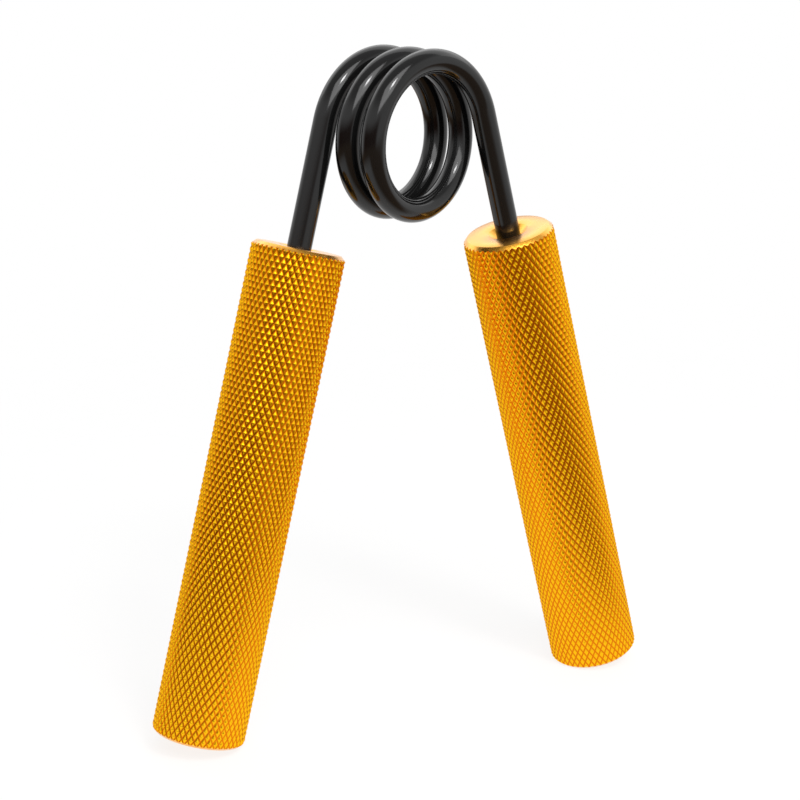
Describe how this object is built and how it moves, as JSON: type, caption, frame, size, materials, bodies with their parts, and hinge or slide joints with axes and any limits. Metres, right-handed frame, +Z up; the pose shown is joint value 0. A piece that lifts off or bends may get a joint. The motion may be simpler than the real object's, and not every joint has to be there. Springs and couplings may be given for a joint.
{
  "type": "hand gripper",
  "caption": "Hand gripper with an open torsion coil on top and a straight leg down each side, each leg set in a knurled round metal grip bar; the bars close against the spring.",
  "frame": {"origin": "midway between the grips under the coil, at the height of the lowest rim of the grips' lower ends", "axes": "+X from the left grip to the right grip, +Y along the coil's axis from the front turn to the back turn, +Z up from the grips' ends to the coil"},
  "size_m": [0.146, 0.0636, 0.1815],
  "materials": {
    "black_coated_steel": "satin gloss black coating",
    "gold_anodised_aluminium": "gold orange anodised, diamond knurl on the grip, turned end faces"
  },
  "bodies": {
    "left_side": {"left_handle": "gold_anodised_aluminium", "torsion_spring": "black_coated_steel"},
    "right_side": {"right_handle": "gold_anodised_aluminium"}
  },
  "joints": [
    {"name": "squeeze", "type": "hinge", "parent": "left_side", "child": "right_side", "pos_m": [0, 0, 0.15881], "axis": [0, 1, 0], "range_deg": [0, 42], "stiffness_Nm_per_rad": 59, "deforming": ["torsion_spring"]}
  ]
}
